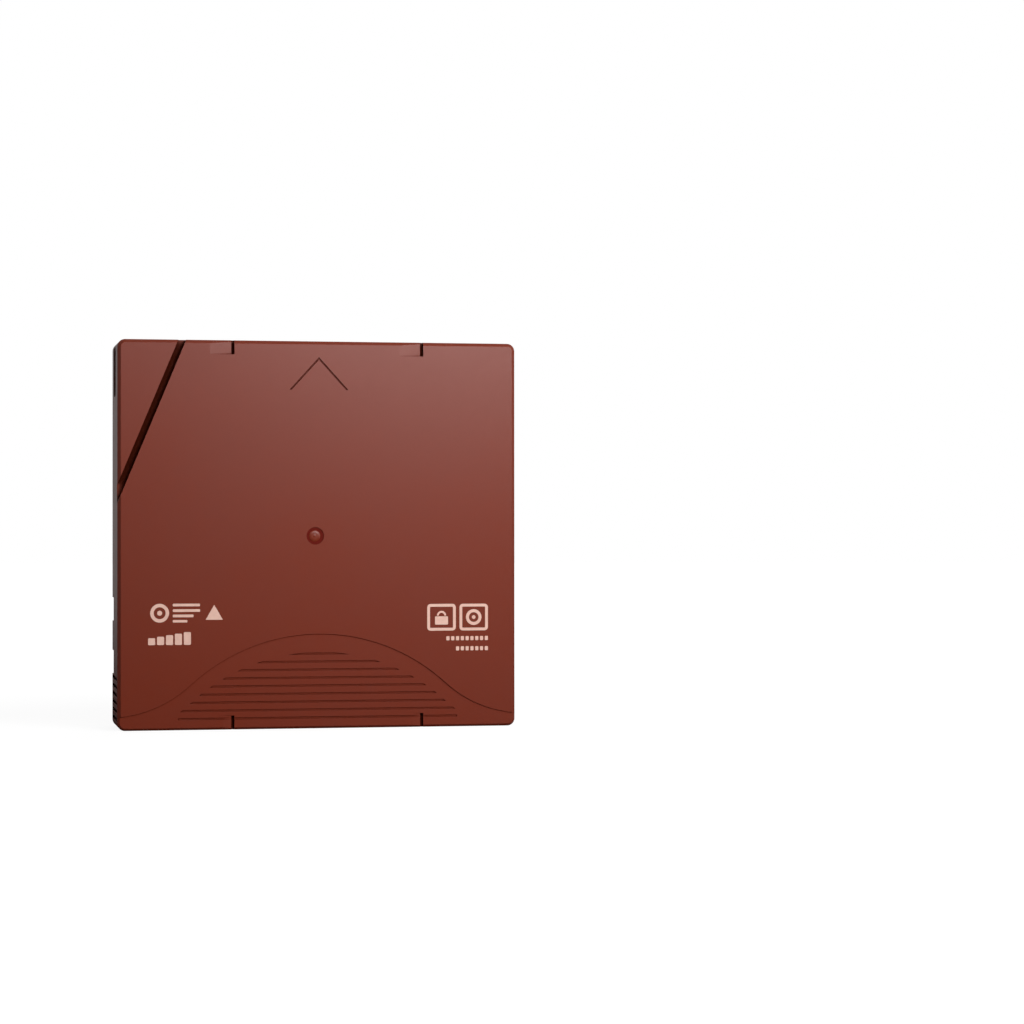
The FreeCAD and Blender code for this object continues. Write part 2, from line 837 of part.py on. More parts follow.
def reel_hub():
    """Hub with its lower flange, drive teeth below and brake teeth above the web."""
    flange = ring(reel_x, reel_y, drive_ring_inner - drive_ring_land, flange_radius, flange_low, flange_top)
    web = disc(reel_x, reel_y, hub_radius, web_low, web_top)
    tube = ring(reel_x, reel_y, hub_inner, hub_radius, web_top, hub_top)
    body = flange.fuse([web, tube])
    drive = face_teeth(drive_tooth_count, drive_ring_inner, drive_ring_outer, flange_low, drive_tip,
                       drive_tooth_width, drive_tooth_tip)
    brake = face_teeth(brake_tooth_count, brake_ring_inner, hub_inner - brake_ring_gap, web_top,
                       web_top + brake_tooth_height, brake_tooth_width, brake_tooth_tip)
    hole_radius = pad_leg_radius + pad_leg_gap
    holes = [disc(p.x, p.y, hole_radius, drive_tip - past, web_top + past) for p in leg_places()]
    return body.fuse(drive + brake).cut(holes)


def clutch_plate():
    """Steel washer under the hub that the drive's magnet holds."""
    return ring(reel_x, reel_y, clutch_bore, clutch_outer, web_low - clutch_thickness, web_low)


def reel_flange():
    """Upper flange, a flat ring seated on the end of the hub."""
    return ring(reel_x, reel_y, hub_inner, flange_radius, hub_top, hub_top + flange_thickness)


def tape_pack():
    """The wound tape, a plain ring on the hub."""
    return ring(reel_x, reel_y, hub_radius + pack_wall_gap, pack_radius, tape_low, tape_high)


# Brake

def brake_button():
    """Toothed disc that locks the hub, with the socket that slides on the case's key."""
    plate = disc(reel_x, reel_y, button_radius, button_low, button_top)
    socket = disc(reel_x, reel_y, socket_radius, button_top, socket_top)
    half_pitch = 180.0 / brake_tooth_count
    teeth = face_teeth(brake_tooth_count, brake_ring_inner, button_radius - brake_rim, button_low,
                       web_top + tooth_root_gap, brake_tooth_width, brake_tooth_tip, half_pitch)
    body = plate.fuse([socket] + teeth)
    half = key_width / 2 + key_gap
    thick = key_blade / 2 + key_gap
    low = min(key_low - brake_travel - tooth_root_gap, button_top - tooth_root_gap)
    return body.cut(cross(half, thick, low, socket_top + past))


def release_pad():
    """Three-legged pad in the hub that the drive pushes up to lift the brake button."""
    plate = disc(reel_x, reel_y, pad_radius, pad_low, pad_top)
    half = pad_arm_width / 2
    arm = box(reel_x, reel_x + pad_leg_offset, reel_y - half, reel_y + half, pad_low, pad_top)
    arms = about_reel(arm, len(pad_angles), pad_angles[0])
    legs = [post(p.x, p.y, pad_leg_radius, drive_tip + pad_leg_reach, pad_top) for p in leg_places()]
    return plate.fuse(arms + legs)


def brake_spring():
    """Coil spring between the ceiling and the brake button."""
    spring = coil(spring_radius, spring_wire, ceiling - button_top, spring_turns, spring_chords)
    spring.translate(V(reel_x, reel_y, button_top))
    return spring


# Door

def door():
    """Sliding door behind the right wall, with the tab that the drive's opener pushes."""
    plate = box(door_inner, door_outer, door_rear, door_front, door_low, door_high)
    tab_front = door_opening_front - door_tab_gap
    tab = box(door_outer, half_width - door_tab_recess, tab_front - door_tab_length, tab_front,
              -door_tab_half_height + door_tab_gap, door_tab_half_height - door_tab_gap)
    seat = box(door_outer - door_seat_width, door_outer, door_rear - door_seat_depth, door_rear,
               -door_seat_half_height, door_seat_half_height)
    seat_rear = door_rear - door_seat_depth
    return plate.fuse([tab, seat, spring_peg(seat_rear - spring_peg_length, seat_rear)])


def door_spring():
    """Coil spring that pushes the door shut, between its seat and the stop on the bottom half."""
    length = door_rear - door_seat_depth - rail_rear
    spring = coil(door_spring_radius, door_spring_wire, length, door_spring_turns, door_spring_chords)
    spring.rotate(V(0, 0, 0), V(1, 0, 0), -90)
    spring.translate(V(door_spring_x, rail_rear, 0))
    return spring


# Leader

def leader_pin():
    """Steel pin with a flange at each end, which the drive takes to draw out the tape."""
    shaft = disc(pin_x, pin_y, pin_shaft_radius, pin_low, pin_top)
    flanges = [disc(pin_x, pin_y, pin_flange_radius, pin_low, pin_low + pin_flange_thickness),
               disc(pin_x, pin_y, pin_flange_radius, pin_top - pin_flange_thickness, pin_top)]
    return shaft.fuse(flanges)


def film_tangent():
    """Angle of the normal of the straight run of film, tangent to the pack and to the pin."""
    pack = pack_radius + film_pack_gap
    apart = math.hypot(pin_x - reel_x, pin_y - reel_y)
    towards_pin = math.atan2(pin_y - reel_y, pin_x - reel_x)
    return towards_pin + math.acos((pack - pin_shaft_radius) / apart)


def tape_leader():
    """Film from the outside of the pack to the pin, and its loop round the pin."""
    normal = film_tangent()
    across = V(math.cos(normal), math.sin(normal), 0)
    start = V(reel_x, reel_y, 0) + across * (pack_radius + film_pack_gap)
    end = V(pin_x, pin_y, 0) + across * pin_shaft_radius
    step = across * film_thickness
    run = prism([(p.x, p.y) for p in (start, end, end + step, start + step)], tape_low, tape_high)
    angle = math.degrees(normal)
    loop = sector(pin_x, pin_y, pin_shaft_radius, pin_shaft_radius + film_thickness, angle - film_wrap, angle,
                  tape_low, tape_high)
    return run.fuse(loop)


def leader_clip():
    """C-shaped clip that grips the film on the pin, open where the film leaves."""
    start = math.degrees(film_tangent()) + clip_first_angle
    end = math.degrees(film_tangent()) + clip_last_angle
    low = pin_low + pin_flange_thickness + fit_gap
    high = pin_top - pin_flange_thickness - fit_gap
    return sector(pin_x, pin_y, clip_inner, clip_inner + clip_wall, start, end, low, high)


# Switch and memory

def write_protect_slider():
    """Slider behind the rear wall whose nub shows in the switch window."""
    y0 = side_wall + fit_gap
    left = -inner_half + switch_end_gap
    half = switch_plate_height / 2
    plate = box(left, left + switch_plate_width, y0, y0 + switch_plate_thickness, -half, half)
    nub_left = switch_left + switch_end_gap
    nub_half = switch_nub_height / 2
    nub = box(nub_left, nub_left + switch_nub_width, switch_nub_recess, y0, -nub_half, nub_half)
    return plate.fuse(nub)


def memory_board():
    """Small circuit board that stands at 45 degrees in the rear right corner."""
    half = ceiling - board_end_gap
    return at_board(box(-board_thickness / 2, board_thickness / 2, -board_half, board_half, -half, half))


def memory_chip():
    """Sealed chip on the inner face of the memory board."""
    near = -board_thickness / 2
    half = chip_side / 2
    return at_board(box(near - chip_thickness, near, -half, half, -half, half))


def main():
    os.makedirs("parts", exist_ok=True)
    save("top_shell", top_shell())
    save("bottom_shell", bottom_shell())
    save("case_screws", case_screws())
    save("reel_hub", reel_hub())
    save("reel_flange", reel_flange())
    save("clutch_plate", clutch_plate())
    save("tape_pack", tape_pack())
    save("brake_button", brake_button())
    save("release_pad", release_pad())
    save("brake_spring", brake_spring())
    save("door", door())
    save("door_spring", door_spring())
    save("leader_pin", leader_pin())
    save("leader_clip", leader_clip())
    save("tape_leader", tape_leader())
    save("pin_spring_upper", leaf_spring(pin_top - leaf_height))
    save("pin_spring_lower", leaf_spring(-ceiling))
    save("write_protect_slider", write_protect_slider())
    save("memory_board", memory_board())
    save("memory_chip", memory_chip())


main()
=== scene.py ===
import json
import math

import bmesh
import bpy
from mathutils import Matrix, Vector

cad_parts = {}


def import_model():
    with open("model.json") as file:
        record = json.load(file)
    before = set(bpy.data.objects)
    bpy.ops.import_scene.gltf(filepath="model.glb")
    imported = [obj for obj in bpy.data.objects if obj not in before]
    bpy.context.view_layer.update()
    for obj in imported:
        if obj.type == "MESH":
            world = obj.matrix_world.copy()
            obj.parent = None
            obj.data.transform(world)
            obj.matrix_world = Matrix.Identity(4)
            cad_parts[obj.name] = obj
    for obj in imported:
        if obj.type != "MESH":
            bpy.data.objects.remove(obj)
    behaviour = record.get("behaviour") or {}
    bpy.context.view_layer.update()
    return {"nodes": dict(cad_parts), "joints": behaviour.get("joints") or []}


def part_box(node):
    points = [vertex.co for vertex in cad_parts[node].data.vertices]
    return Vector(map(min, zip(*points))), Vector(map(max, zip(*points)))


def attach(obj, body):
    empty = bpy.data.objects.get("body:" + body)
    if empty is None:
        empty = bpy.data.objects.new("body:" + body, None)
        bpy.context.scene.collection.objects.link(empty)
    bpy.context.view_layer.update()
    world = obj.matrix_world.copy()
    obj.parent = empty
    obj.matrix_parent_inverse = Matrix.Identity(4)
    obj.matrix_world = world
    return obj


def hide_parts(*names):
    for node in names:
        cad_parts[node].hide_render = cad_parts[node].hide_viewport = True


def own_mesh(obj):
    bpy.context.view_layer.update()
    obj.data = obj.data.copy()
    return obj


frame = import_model()

MM = 0.001
TOP_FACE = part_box("top_shell")[0][1]        # the moulded top face looks towards -Y
CASE_LOW, CASE_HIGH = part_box("top_shell")
CASE_TOP = CASE_HIGH[2]
HUB_LOW, HUB_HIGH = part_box("reel_hub")
REEL_X = (HUB_LOW[0] + HUB_HIGH[0]) / 2
REEL_Z = (HUB_LOW[2] + HUB_HIGH[2]) / 2
UPRIGHT = Matrix.Rotation(math.radians(90), 4, "X")     # stands what an operator lays in XY up into XZ


# Shader helpers

class Wire:
    """A shader socket that works in Python expressions. Arithmetic adds Math nodes."""

    def __init__(self, finish, socket):
        self.finish = finish
        self.socket = socket

    def math(self, operation, *values, clamp=False):
        """A Math node with this value first."""
        settings = {"operation": operation, "use_clamp": clamp}
        return self.finish.node("ShaderNodeMath", settings, dict(enumerate((self,) + values)))

    def __add__(self, other):
        return self.math("ADD", other)

    def __radd__(self, other):
        return self.math("ADD", other)

    def __sub__(self, other):
        return self.math("SUBTRACT", other)

    def __rsub__(self, other):
        return self.finish.node("ShaderNodeMath", {"operation": "SUBTRACT"}, {0: other, 1: self})

    def __mul__(self, other):
        return self.math("MULTIPLY", other)

    def __truediv__(self, other):
        return self.math("DIVIDE", other)

    def clamped(self):
        """The value held between 0 and 1."""
        return self.math("ADD", 0.0, clamp=True)

    def above(self, start, gain):
        """0 up to a start, then rising, to 1 at most."""
        return ((self - start) * gain).clamped()

    def swing(self, amount):
        """A noise's departure from its middle, scaled."""
        return (self - 0.5) * amount


class Finish:
    """One material or world and its nodes."""

    def __init__(self, owner):
        owner.use_nodes = True
        self.owner = owner
        self.tree = owner.node_tree
        self.tree.nodes.clear()

    def node(self, kind, settings=None, inputs=None, out=0):
        """A node of any type, its settings made first, then its sockets' values or links."""
        made = self.tree.nodes.new(kind)
        for name, value in (settings or {}).items():
            setattr(made, name, value)
        for key, value in (inputs or {}).items():
            if isinstance(value, Wire):
                self.tree.links.new(value.socket, made.inputs[key])
            else:
                made.inputs[key].default_value = value
        return Wire(self, made.outputs[out])

    def mix(self, factor, first, second):
        """Colour between two colours."""
        return self.node("ShaderNodeMix", {"data_type": "RGBA"}, {0: factor, 6: first, 7: second}, 2)

    def place(self):
        """Object coordinates."""
        return self.node("ShaderNodeTexCoord", out="Object")

    def noise(self, scale, detail, rough, stretch=(1, 1, 1)):
        """Noise over the object, its grain stretched along an axis where stretch is small."""
        place = self.node("ShaderNodeMapping", None, {"Vector": self.place(), "Scale": stretch})
        return self.node("ShaderNodeTexNoise", None,
                         {"Vector": place, "Scale": scale, "Detail": detail, "Roughness": rough})

    def reel_rings(self, scale, detail=2.0, rough=0.5):
        """Noise that changes only with the distance from the reel's axis, so it draws fine rings."""
        place = self.place()
        x = self.node("ShaderNodeSeparateXYZ", None, {0: place}, 0) - REEL_X
        z = self.node("ShaderNodeSeparateXYZ", None, {0: place}, 2) - REEL_Z
        away = (x * x + z * z).math("SQRT")
        return self.node("ShaderNodeTexNoise", {"noise_dimensions": "1D"},
                         {"W": away, "Scale": scale, "Detail": detail, "Roughness": rough})

    def openness(self, reach):
        """1 on open faces, falling towards 0 deep in grooves and corners."""
        return self.node("ShaderNodeAmbientOcclusion", {"samples": 8, "only_local": True},
                         {"Distance": reach}, "AO")

    def bump(self, height, strength, distance):
        """Normal from a height."""
        return self.node("ShaderNodeBump", None,
                         {"Strength": strength, "Distance": distance, "Height": height})

    def principled(self, inputs):
        """The usual shader for a solid surface."""
        return self.node("ShaderNodeBsdfPrincipled", None, inputs)

    def surface(self, shader):
        """Send a shader to the output and give back the material or world."""
        is_world = isinstance(self.owner, bpy.types.World)
        kind = "ShaderNodeOutputWorld" if is_world else "ShaderNodeOutputMaterial"
        made = self.tree.nodes.new(kind)
        self.tree.links.new(shader.socket, made.inputs["Surface"])
        return self.owner


def colour(red, green, blue):
    """A colour with full alpha."""
    return (red, green, blue, 1)


def darkened(shade, share):
    """A colour scaled down."""
    return tuple(v * share for v in shade[:3]) + (1,)


def new_finish(name):
    """An empty material."""
    return Finish(bpy.data.materials.new(name))


# Finishes

GRAIN_SCALE = 3600              # noise scale of the grain that spark erosion leaves on a mould
GRAIN_HEIGHT = 0.00003
LINE_HEIGHT = 0.00002           # of turning lines and of the edges of wound tape
GROOVE_REACH = 3.0 * MM         # how far off a wall still shades a spot


def moulded_plastic(name, base, shade, roughness, grain, level=0.5):
    """Injection-moulded plastic: spark-eroded grain, faint cloudiness and uneven gloss, with painted shade
    in grooves and corners, darker and matte.
    """
    finish = new_finish(name)
    clouds = finish.noise(scale=28, detail=3, rough=0.55)
    mottle = finish.noise(scale=520, detail=2, rough=0.5)
    fine = finish.noise(GRAIN_SCALE, detail=2, rough=0.6)
    tone = (clouds * 0.7 + mottle * 0.3).above(0.32, gain=1.6)
    openness = finish.openness(GROOVE_REACH)
    shader = finish.principled({
        "Base Color": finish.mix(tone, base, shade),
        "Roughness": roughness + clouds.swing(0.10) + mottle.swing(0.06),
        "Specular IOR Level": level,
        "Normal": finish.bump(fine + mottle * 0.5, grain, GRAIN_HEIGHT),
    })
    # Painted shade: where walls close round a spot, the colour is mixed towards a darker, matte shader with
    # no reflection, down to a fifth of the shade colour in the deepest places.
    lit = openness.above(0.55, gain=5.0)
    deep = finish.principled({
        "Base Color": finish.mix(lit, darkened(shade, 0.20), darkened(shade, 0.85)),
        "Roughness": 0.9,
        "Specular IOR Level": 0.0,
    })
    factor = openness.above(0.5, gain=2.2)
    return finish.surface(finish.node("ShaderNodeMixShader", None, {0: factor, 1: deep, 2: shader}))


def case_plastic():
    """Satin burgundy of the two case halves."""
    return moulded_plastic("case_burgundy", colour(0.170, 0.0222, 0.0073), colour(0.150, 0.0196, 0.0065),
                           roughness=0.38, grain=0.3, level=0.30)


def gate_shade_plastic():
    """Darker, matte burgundy for the ring round the gate: painted shade of the groove between the boss and
    the recess's wall.
    """
    return moulded_plastic("gate_ring_shade", colour(0.120, 0.0100, 0.0060), colour(0.095, 0.0080, 0.0050),
                           roughness=0.6, grain=0.3, level=0.03)


def turned_steel(name, base, roughness):
    """Steel with fine lines, rings round the reel's axis that look nearly straight on pieces far from it."""
    finish = new_finish(name)
    lines = finish.reel_rings(scale=2600, detail=3, rough=0.6)
    clouds = finish.noise(scale=160, detail=2, rough=0.5)
    return finish.surface(finish.principled({
        "Base Color": finish.mix(clouds, base, darkened(base, 0.82)),
        "Metallic": 1.0,
        "Roughness": roughness + lines.swing(0.16),
        "Normal": finish.bump(lines, 0.25, LINE_HEIGHT),
    }))


def tape_film():
    """Wound tape: a dark film whose edges show as fine rings round the reel axis."""
    finish = new_finish("tape_film")
    rings = finish.reel_rings(scale=5200, detail=3, rough=0.7)
    wide = finish.reel_rings(scale=420)
    tone = (rings * 0.6 + wide * 0.4).clamped()
    return finish.surface(finish.principled({
        "Base Color": finish.mix(tone, colour(0.020, 0.013, 0.010), colour(0.075, 0.052, 0.043)),
        "Roughness": 0.22 + rings * 0.2,
        "Normal": finish.bump(rings, 0.4, LINE_HEIGHT),
    }))


def board_laminate():
    """Green glass laminate with a faint weave."""
    finish = new_finish("board_laminate")
    weave = finish.noise(scale=2600, detail=1, rough=0.5, stretch=(1, 1, 0.25))
    return finish.surface(finish.principled({
        "Base Color": finish.mix(weave, colour(0.012, 0.085, 0.035), colour(0.03, 0.15, 0.06)),
        "Roughness": 0.32 + weave * 0.12,
        "Normal": finish.bump(weave, 0.2, GRAIN_HEIGHT),
    }))


def ink():
    """Pad-printed ink, thin enough to show the grain under it."""
    finish = new_finish("pad_ink")
    pores = finish.noise(GRAIN_SCALE, detail=2, rough=0.6)
    wear = finish.noise(scale=900, detail=3, rough=0.6)
    worn = (wear * 1.4 - 0.25).clamped()
    return finish.surface(finish.principled({
        "Base Color": finish.mix(worn, colour(0.78, 0.50, 0.41), colour(0.66, 0.40, 0.32)),
        "Roughness": 0.5 + wear.swing(0.2),
        "Normal": finish.bump(pores, 0.35, GRAIN_HEIGHT),
    }))


# Mesh helpers

def object_from(bm, name, material):
    """Turn a bmesh into an object of the scene."""
    mesh = bpy.data.meshes.new(name)
    bm.to_mesh(mesh)
    bm.free()
    made = bpy.data.objects.new(name, mesh)
    bpy.context.scene.collection.objects.link(made)
    mesh.materials.append(material)
    return made


def piece_from(bm, name, body, material):
    """Make a finished piece of a bmesh and let it ride on a body."""
    bmesh.ops.recalc_face_normals(bm, faces=bm.faces)
    piece = object_from(bm, name, material)
    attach(piece, body)
    return piece


def edges_at(verts):
    """Each edge that meets these vertices once, always in the same order."""
    return list(dict.fromkeys(edge for vert in verts for edge in vert.link_edges))


def fill_holes(bm):
    """Close every open end with one face."""
    bmesh.ops.holes_fill(bm, edges=[e for e in bm.edges if e.is_boundary], sides=0)


def smooth(piece, angle):
    """Shade smooth except across sharp edges."""
    piece.data.shade_smooth()
    piece.data.set_sharp_from_angle(angle=math.radians(angle))


def keep_shallow_ramps(piece):
    """Mark the edges where a shallow ramp leaves the top face as sharp, so that its line shows."""
    shallowest = math.radians(0.6)
    flush = 0.002 * MM
    rim = 1.5 * MM
    bm = bmesh.new()
    bm.from_mesh(piece.data)
    for edge in bm.edges:
        if len(edge.link_faces) != 2 or edge.calc_face_angle(0) < shallowest:
            continue
        on_face = all(abs(v.co.y - TOP_FACE) < flush for v in edge.verts)
        middle = (edge.verts[0].co + edge.verts[1].co) / 2
        inside = (CASE_LOW[0] + rim < middle.x < CASE_HIGH[0] - rim
                  and CASE_LOW[2] + rim < middle.z < CASE_TOP - rim)
        if on_face and inside:
            edge.smooth = False
    bm.to_mesh(piece.data)
    bm.free()


def clean_copy(node, width, body, material):
    """A CAD node's shape with merged faces and its sharp edges broken by a small round."""
    bm = bmesh.new()
    bm.from_mesh(frame["nodes"][node].data)
    bmesh.ops.remove_doubles(bm, verts=bm.verts, dist=1e-7)
    bmesh.ops.dissolve_limit(bm, angle_limit=math.radians(0.5), verts=bm.verts, edges=bm.edges)
    piece = object_from(bm, node + "_dressed", material)
    rounding = piece.modifiers.new("edge_round", "BEVEL")
    rounding.width = width
    rounding.segments = 2
    rounding.limit_method = "ANGLE"
    rounding.angle_limit = math.radians(40)
    rounding.use_clamp_overlap = True
    flatten = piece.modifiers.new("flat_faces", "WEIGHTED_NORMAL")
    flatten.mode = "FACE_AREA"
    flatten.weight = 80
    flatten.keep_sharp = True
    smooth(piece, 28)
    keep_shallow_ramps(piece)
    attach(piece, body)
    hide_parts(node)


# Printed shapes, made flat in XZ and in millimetres

def flat_ring(bm, x, z, inner, outer, sweep=360, steps=40):
    """Ring, or the part of one that starts at +X."""
    where = [bm.verts.new((x + radius, 0, z)) for radius in (inner, outer)]
    edge = bm.edges.new(where)
    bmesh.ops.spin(bm, geom=where + [edge], cent=(x, 0, z), axis=(0, -1, 0), angle=math.radians(sweep),
                   steps=steps, use_merge=sweep == 360)


def flat_disc(bm, x, z, radius, segments=32):
    """Disc, or with few segments a regular shape with one point up."""
    turn = UPRIGHT @ Matrix.Rotation(math.radians(180), 4, "Y")
    bmesh.ops.create_circle(bm, cap_ends=True, segments=segments, radius=radius,
                            matrix=Matrix.Translation((x, 0, z)) @ turn)


def flat_bar(bm, x0, x1, z0, z1, corner):
    """Upright rectangle with rounded corners."""
    size = Matrix.Diagonal((x1 - x0, 1, z1 - z0, 1))
    place = Matrix.Translation(((x0 + x1) / 2, 0, (z0 + z1) / 2))
    made = bmesh.ops.create_grid(bm, x_segments=1, y_segments=1, size=0.5, matrix=place @ size @ UPRIGHT)
    bmesh.ops.bevel(bm, geom=made["verts"], offset=corner, segments=4, profile=0.5, affect="VERTICES",
                    material=-1)


def flat_frame(bm, x0, x1, z0, z1, line, corner):
    """Outline of a rounded rectangle."""
    flat_bar(bm, x0, x1, z0, z1, corner)
    middle = Vector(((x0 + x1) / 2, 0, (z0 + z1) / 2))
    face = min(bm.faces, key=lambda f: (f.calc_center_median() - middle).length)
    bmesh.ops.inset_individual(bm, faces=[face], thickness=line, depth=0, use_even_offset=True)
    bmesh.ops.delete(bm, geom=[face], context="FACES_ONLY")


def reel_sign(bm):
    """A reel with four lines beside it."""
    x, z = -41.8, 30.6
    flat_ring(bm, x, z, inner=1.55, outer=2.45)
    flat_disc(bm, x, z, radius=0.65)
    lines = ((-31.3, 32.35, 33.05), (-31.3, 30.9, 31.6), (-33.0, 29.5, 30.2), (-34.6, 28.15, 28.8))
    for right, low, high in lines:
        flat_bar(bm, -38.4, right, low, high, corner=0.2)


def gauge_sign(bm):
    """Five bars that rise to the right."""
    pitch, width, rise = 2.32, 1.85, 0.38
    for step in range(5):
        left = -44.8 + pitch * step
        flat_bar(bm, left, left + width, 22.3, 24.1 + rise * step, corner=0.3)


def framed_signs(bm):
    """A lock and a disc, each in its frame."""
    low, high = 25.5, 32.6
    flat_frame(bm, 28.9, 36.6, low, high, line=0.75, corner=0.9)
    flat_bar(bm, 31.0, 34.5, 27.1, 29.3, corner=0.25)
    flat_ring(bm, 32.75, 29.5, inner=0.75, outer=1.25, sweep=180, steps=16)
    flat_frame(bm, 37.6, 45.3, low, high, line=0.75, corner=0.9)
    flat_ring(bm, 41.45, 29.05, inner=1.3, outer=2.1)
    flat_disc(bm, 41.45, 29.05, radius=0.5)


def small_rows(bm):
    """Two rows of small blocks that end below the disc's frame."""
    pitch, width, height = 1.3, 0.85, 1.1
    for count, low in ((9, 22.9), (7, 20.2)):
        for step in range(count):
            right = 45.3 - pitch * step
            flat_bar(bm, right - width, right, low, low + height, corner=0.2)


def face_marks(material):
    """Plain pictograms printed on the top face: a reel, an arrow head, a gauge, a lock and a disc."""
    thickness = 0.03
    bm = bmesh.new()
    reel_sign(bm)
    flat_disc(bm, -27.6, 30.1, radius=2.6, segments=3)
    gauge_sign(bm)
    framed_signs(bm)
    small_rows(bm)
    raised = bmesh.ops.extrude_face_region(bm, geom=bm.faces[:])["geom"]
    raised = [v for v in raised if isinstance(v, bmesh.types.BMVert)]
    bmesh.ops.translate(bm, verts=raised, vec=(0, -thickness, 0))
    place = Matrix.Translation((0, TOP_FACE, 0)) @ Matrix.Scale(MM, 4)
    bmesh.ops.transform(bm, matrix=place, verts=bm.verts)
    piece_from(bm, "face_marks", "case", material)


# Turned pieces

GATE_RECESS = 0.25 * MM                     # depth below the top face
GATE_BOSS_SHIFT = -0.15                     # in X from the recess's middle, in millimetres

# Radius and Y in millimetres, from the floor of the recess
GATE_BOSS = ((1.50, 0.02), (1.46, -0.04), (1.25, -0.13), (0.90, -0.19), (0.50, -0.20), (0.30, -0.19),
             (0.24, -0.24), (0.10, -0.25))
GATE_RING = ((2.29, 0.01), (2.29, -0.03), (1.40, -0.03), (1.40, 0.01))

# Radius, how deep the socket's lobes cut into it, and Y, in millimetres from the plane of the head
LOBES = 6
SCREW = ((0.95, 0.16, -0.8), (0.95, 0.16, -0.04), (1.02, 0.14, 0), (1.75, 0, 0), (1.98, 0, -0.08),
         (2.1, 0, -0.32), (2.1, 0, -1.6), (1.0, 0, -1.6), (1.0, 0, -15.0), (0.5, 0, -15.8))


def turned(bm, profile, ring=False):
    """Solid of revolution about the Y axis from (radius, y) pairs: capped at both ends, or a ring."""
    verts = [bm.verts.new((radius, y, 0)) for radius, y in profile]
    edges = [bm.edges.new(pair) for pair in zip(verts, verts[1:] + verts[:1] if ring else verts[1:])]
    bmesh.ops.spin(bm, geom=verts + edges, cent=(0, 0, 0), axis=(0, 1, 0), angle=math.tau, steps=48,
                   use_merge=True)
    fill_holes(bm)


def gate_mark(material, ring_shade):
    """What the moulding gate left in its recess: a low domed boss with a nub, and round it a darker ring of
    painted shade.
    """
    place = Matrix.Translation((REEL_X, TOP_FACE + GATE_RECESS, REEL_Z)) @ Matrix.Scale(MM, 4)
    bm = bmesh.new()
    turned(bm, GATE_BOSS)
    shifted = place @ Matrix.Translation((GATE_BOSS_SHIFT, 0, 0))
    bmesh.ops.transform(bm, matrix=shifted, verts=bm.verts)
    smooth(piece_from(bm, "gate_boss", "case", material), 50)
    # The ring is a thin sheet of darker material, painted shade in the groove round the boss.
    bm = bmesh.new()
    turned(bm, GATE_RING, ring=True)
    bmesh.ops.transform(bm, matrix=place, verts=bm.verts)
    smooth(piece_from(bm, "gate_ring", "case", ring_shade), 50)


def screw_axes():
    """Centre of each case screw in X and Z, from the corners of the case that they stand in."""
    corners = {}
    for vert in frame["nodes"]["case_screws"].data.vertices:
        corners.setdefault((vert.co.x > 0, vert.co.z > CASE_TOP / 2), []).append(vert.co)
    return [((min(v.x for v in group) + max(v.x for v in group)) / 2,
             (min(v.z for v in group) + max(v.z for v in group)) / 2) for group in corners.values()]


def screw(bm, x, y, z):
    """One case screw, head towards +Y: rings from the bottom of its socket over the head to the tip."""
    first = bmesh.ops.create_circle(bm, segments=6 * LOBES, radius=1, matrix=UPRIGHT)["verts"]
    rings = [first]
    edges = edges_at(first)
    for _ in SCREW[1:]:
        grown = bmesh.ops.extrude_edge_only(bm, edges=edges)["geom"]
        rings.append([item for item in grown if isinstance(item, bmesh.types.BMVert)])
        edges = [item for item in grown if isinstance(item, bmesh.types.BMEdge)
                 and all(vert in rings[-1] for vert in item.verts)]
    for verts, (radius, depth, height) in zip(rings, SCREW):
        for vert in verts:
            turn = math.atan2(vert.co.z, vert.co.x)
            reach = (radius - depth * (1 - math.cos(LOBES * turn)) / 2) * MM
            vert.co = (x + reach * math.cos(turn), y + height * MM, z + reach * math.sin(turn))


def screws(material):
    """Round-headed case screws in place of the plain CAD ones."""
    bm = bmesh.new()
    for x, z in screw_axes():
        screw(bm, x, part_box("case_screws")[1].y, z)
    fill_holes(bm)
    piece = piece_from(bm, "screws", "case", material)
    smooth(piece, 40)
    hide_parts("case_screws")


# Springs

def joint_travel(name):
    """How far a sliding joint goes."""
    return next(j for j in frame["joints"] if j["name"] == name)["range_m"][1]


def coil_spring(name, node, turns, wire, radius, length, place, material):
    """Wire spring along Z with a closed turn at each end, then placed. It stands for the CAD spring."""
    steps = 24
    bm = bmesh.new()
    start = Matrix.Translation((radius, 0, wire / 2)) @ UPRIGHT
    section = bmesh.ops.create_circle(bm, segments=10, radius=wire / 2, matrix=start)["verts"]
    section = section + edges_at(section)
    rise = (length - 3 * wire) / turns
    for count, pitch in ((1, wire), (turns, rise), (1, wire)):
        section = bmesh.ops.spin(bm, geom=section, cent=(0, 0, 0), axis=(0, 0, 1),
                                 dvec=(0, 0, pitch / steps), angle=math.tau * count,
                                 steps=steps * count)["geom_last"]
    fill_holes(bm)
    bmesh.ops.transform(bm, matrix=place, verts=bm.verts)
    piece = piece_from(bm, name, "case", material)
    smooth(piece, 60)
    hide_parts(node)
    return piece


def door_coil(material):
    """The door's long thin spring, placed from its lower end."""
    low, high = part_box("door_spring")
    travel = joint_travel("door_slide")
    place = Matrix.Translation(((low.x + high.x) / 2, (low.y + high.y) / 2, low.z))
    length = high.z - low.z
    door = coil_spring("door_coil", "door_spring", turns=22, wire=0.3 * MM, radius=1.0 * MM,
                       length=length, place=place, material=material)
    (length - travel) / length
    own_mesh(door)


def brake_coil(material):
    """The brake's wide spring, placed from its end at the top shell."""
    low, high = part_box("brake_spring")
    travel = joint_travel("brake_lift")
    length = high.y - low.y
    place = Matrix.Translation((REEL_X, low.y, REEL_Z)) @ Matrix.Rotation(math.radians(-90), 4, "X")
    brake = coil_spring("brake_coil", "brake_spring", turns=4, wire=0.8 * MM, radius=6.6 * MM,
                        length=length, place=place, material=material)
    (length - travel) / length
    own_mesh(brake)


# Camera, light and stage

